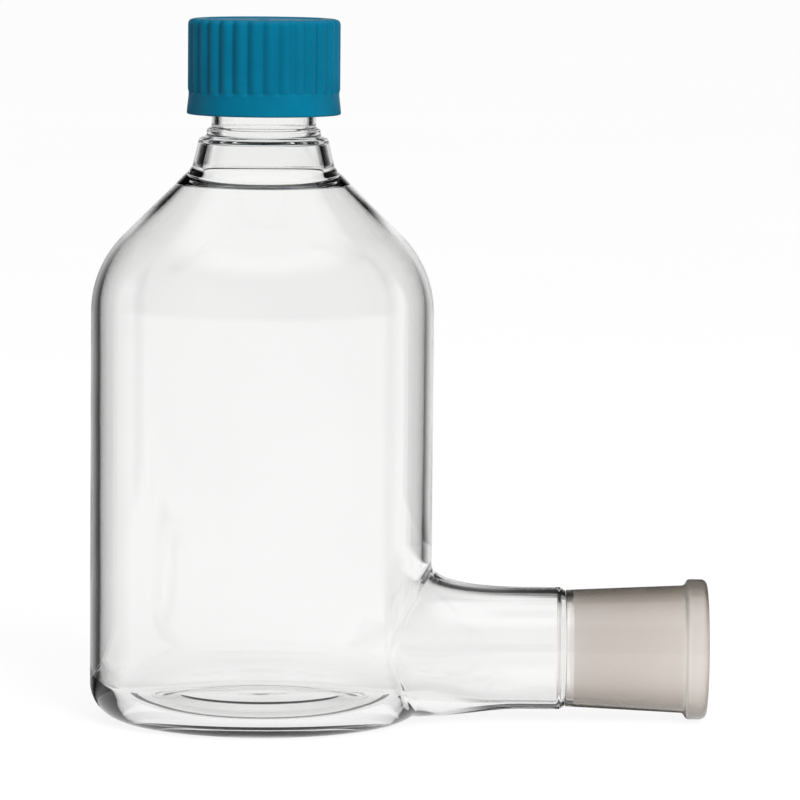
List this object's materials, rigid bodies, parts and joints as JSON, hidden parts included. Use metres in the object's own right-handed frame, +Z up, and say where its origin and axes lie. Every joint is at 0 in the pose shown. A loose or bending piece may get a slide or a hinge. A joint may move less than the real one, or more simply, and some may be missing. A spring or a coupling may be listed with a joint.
{
  "type": "aspirator bottle",
  "caption": "Round glass aspirator bottle with a ribbed screw cap and a horizontal ground conical outlet socket low on its side.",
  "frame": {"origin": "centre of the whole object's bounding box, on the plane that it stands on; the bottle's own axis is the vertical line at x = -0.03475", "axes": "+Z up, parallel to the bottle's axis; +X along the outlet's axis, towards its open mouth; +Y towards the back"},
  "size_m": [0.1554, 0.086, 0.176],
  "materials": {
    "clear_glass": "clear, fire polished",
    "ground_glass": "ground, matt",
    "teal_plastic": "satin moulded",
    "white_silicone": "matt"
  },
  "bodies": {
    "bottle": {"bottle_body": "clear_glass", "outlet_tube": "clear_glass", "ground_socket": "ground_glass", "pouring_ring": "teal_plastic"},
    "seal": {"cap_seal": "white_silicone"},
    "cap": {"screw_cap": "teal_plastic"}
  },
  "joints": [
    {"name": "cap_lift", "type": "slide", "parent": "bottle", "child": "seal", "axis": [0, 0, 1], "range_m": [0, 0.0241]},
    {"name": "cap_turn", "type": "hinge", "parent": "seal", "child": "cap", "pos_m": [-0.03475, 0, 0.164], "axis": [0, 0, 1], "range_deg": [0, 2160]}
  ],
  "couplings": [
    {"joint": "cap_lift", "follows": "cap_turn", "m_per_rad": 0.00063662}
  ]
}
